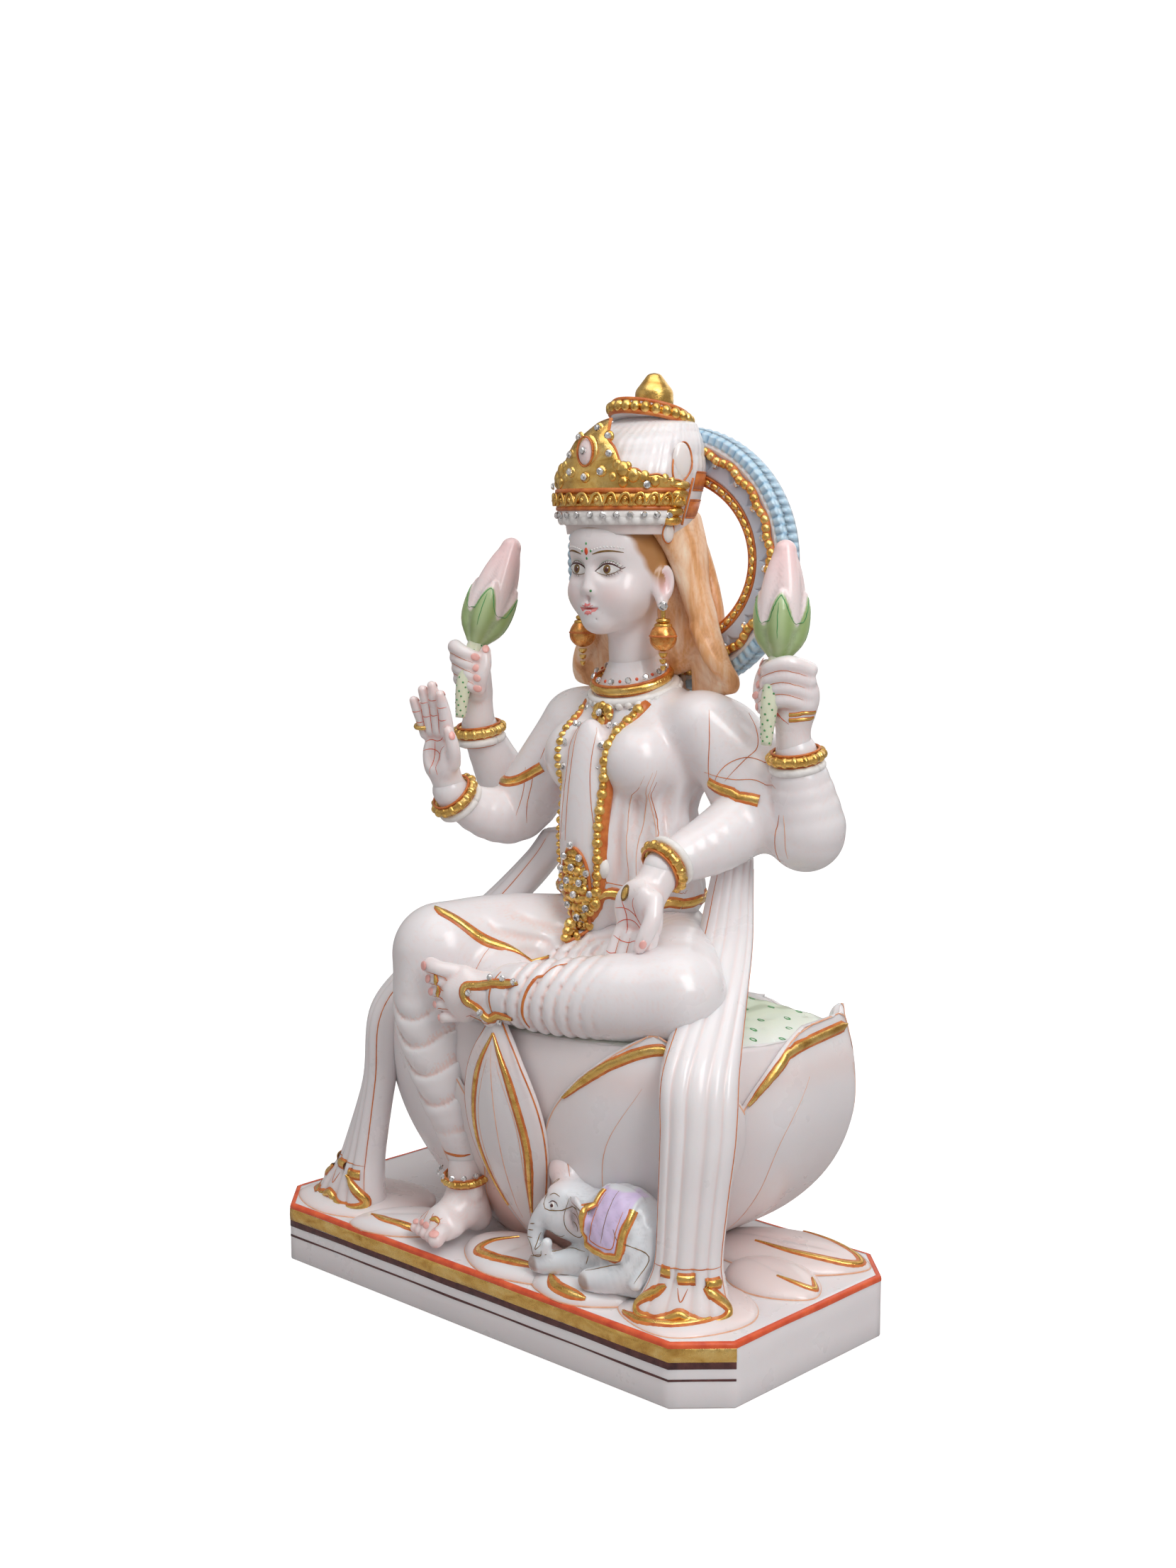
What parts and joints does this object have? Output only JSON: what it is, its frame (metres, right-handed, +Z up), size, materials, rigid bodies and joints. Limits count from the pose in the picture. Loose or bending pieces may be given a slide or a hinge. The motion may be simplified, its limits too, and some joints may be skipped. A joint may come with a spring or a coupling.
{
  "type": "seated goddess statue",
  "caption": "Painted white marble figure of a four-armed goddess seated on a lotus, with raised lotus buds, a halo and a small elephant on the plinth.",
  "frame": {"origin": "centre of the plinth's underside, which is also the middle of the bounding box's bottom", "axes": "+Z up; the figure faces -Y; her left hand is towards +X"},
  "size_m": [0.203, 0.1, 0.305],
  "materials": {
    "marble": "polished white marble with a faint pink tint",
    "marble_skin": "polished white marble, painted features",
    "gold_leaf": "burnished gold leaf over relief",
    "orange_line": "thin brush lines of orange-brown paint",
    "hair_paint": "washed golden-brown paint on marble",
    "green_wash": "pale green wash on marble",
    "pink_wash": "pink wash on marble",
    "grey_wash": "blue-grey wash on marble",
    "blue_wash": "pale blue wash on marble",
    "lilac_wash": "lilac wash on marble",
    "dark_line": "thin dark brush lines",
    "red_paint": "red-orange paint",
    "rhinestone": "faceted clear crystal with a foil back"
  },
  "bodies": {
    "root": {"base_petal_elephant": "marble", "base_petal_front": "marble", "base_petal_left_back": "marble", "base_petal_left_corner": "marble", "base_petal_left_side": "marble", "base_petal_right_back": "marble", "base_petal_right_corner": "marble", "base_petal_right_front": "marble", "belt": "gold_leaf", "choker": "gold_leaf", "crown": "marble", "crown_finial": "gold_leaf", "crown_ring": "gold_leaf", "elephant": "grey_wash", "hair": "hair_paint", "halo": "blue_wash", "head": "marble_skin", "hips": "marble", "left_anklet": "gold_leaf", "left_armlet": "gold_leaf", "left_back_arm": "marble_skin", "left_back_bangle": "gold_leaf", "left_back_hand": "marble_skin", "left_earring": "gold_leaf", "left_foot": "marble_skin", "left_front_arm": "marble_skin", "left_front_bangle": "gold_leaf", "left_front_hand": "marble_skin", "left_leg": "marble", "left_lotus_bud": "pink_wash", "left_sash": "marble", "long_necklace": "gold_leaf", "lotus_core": "marble", "pendant": "gold_leaf", "plinth": "marble", "right_anklet": "gold_leaf", "right_armlet": "gold_leaf", "right_back_arm": "marble_skin", "right_back_bangle": "gold_leaf", "right_back_hand": "marble_skin", "right_earring": "gold_leaf", "right_foot": "marble_skin", "right_front_arm": "marble_skin", "right_front_bangle": "gold_leaf", "right_front_hand": "marble_skin", "right_leg": "marble", "right_lotus_bud": "pink_wash", "right_sash": "marble", "seat_petal_back": "marble", "seat_petal_front": "marble", "seat_petal_front_left": "marble", "seat_petal_front_right": "marble", "seat_petal_left_corner": "marble", "seat_petal_left_side": "marble", "seat_petal_right_corner": "marble", "seat_petal_right_side": "marble", "seed_pod": "green_wash", "tiara": "gold_leaf", "torso": "marble", "waist_jewel": "gold_leaf"}
  },
  "joints": []
}
